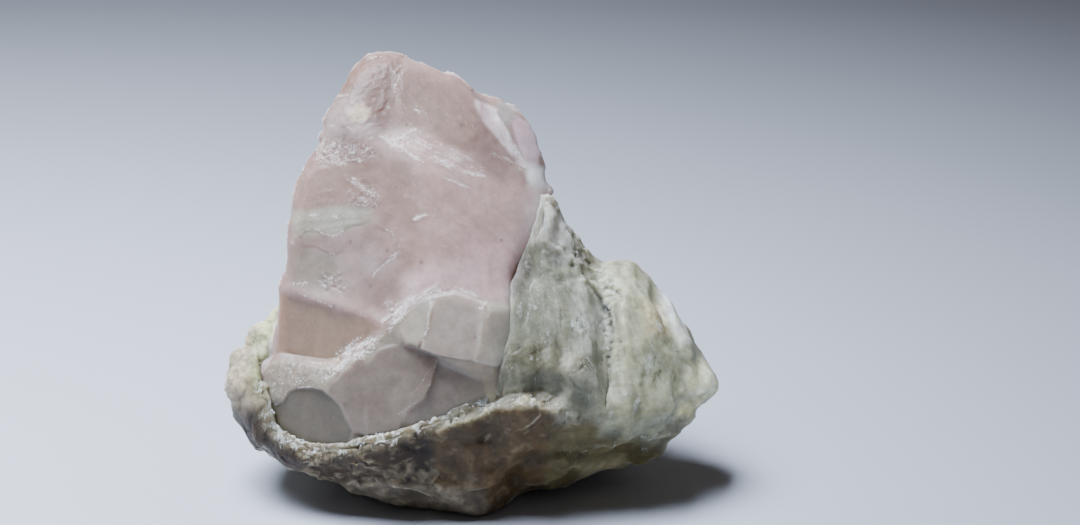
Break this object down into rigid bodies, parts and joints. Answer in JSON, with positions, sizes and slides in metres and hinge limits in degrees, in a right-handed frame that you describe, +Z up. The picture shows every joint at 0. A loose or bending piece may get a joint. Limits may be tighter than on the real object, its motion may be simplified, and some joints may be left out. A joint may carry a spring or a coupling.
{
  "type": "morganite specimen",
  "caption": "Broken pink morganite crystal standing on a bladed grey-green albite matrix, with a flat cut under the matrix to rest on.",
  "frame": {"origin": "centre of the bounding box, at the level of the flat base under the matrix", "axes": "+Z up; +X to the right as seen facing the crystal's broad face, along the specimen's length; -Y towards the viewer"},
  "size_m": [0.0698, 0.044, 0.0602],
  "materials": {
    "morganite": "milky, faintly glossy broken crystal with white chips",
    "albite": "matt to waxy bladed rock with pale streaks"
  },
  "bodies": {
    "root": {"morganite_crystal": "morganite", "albite_matrix": "albite"}
  },
  "joints": []
}
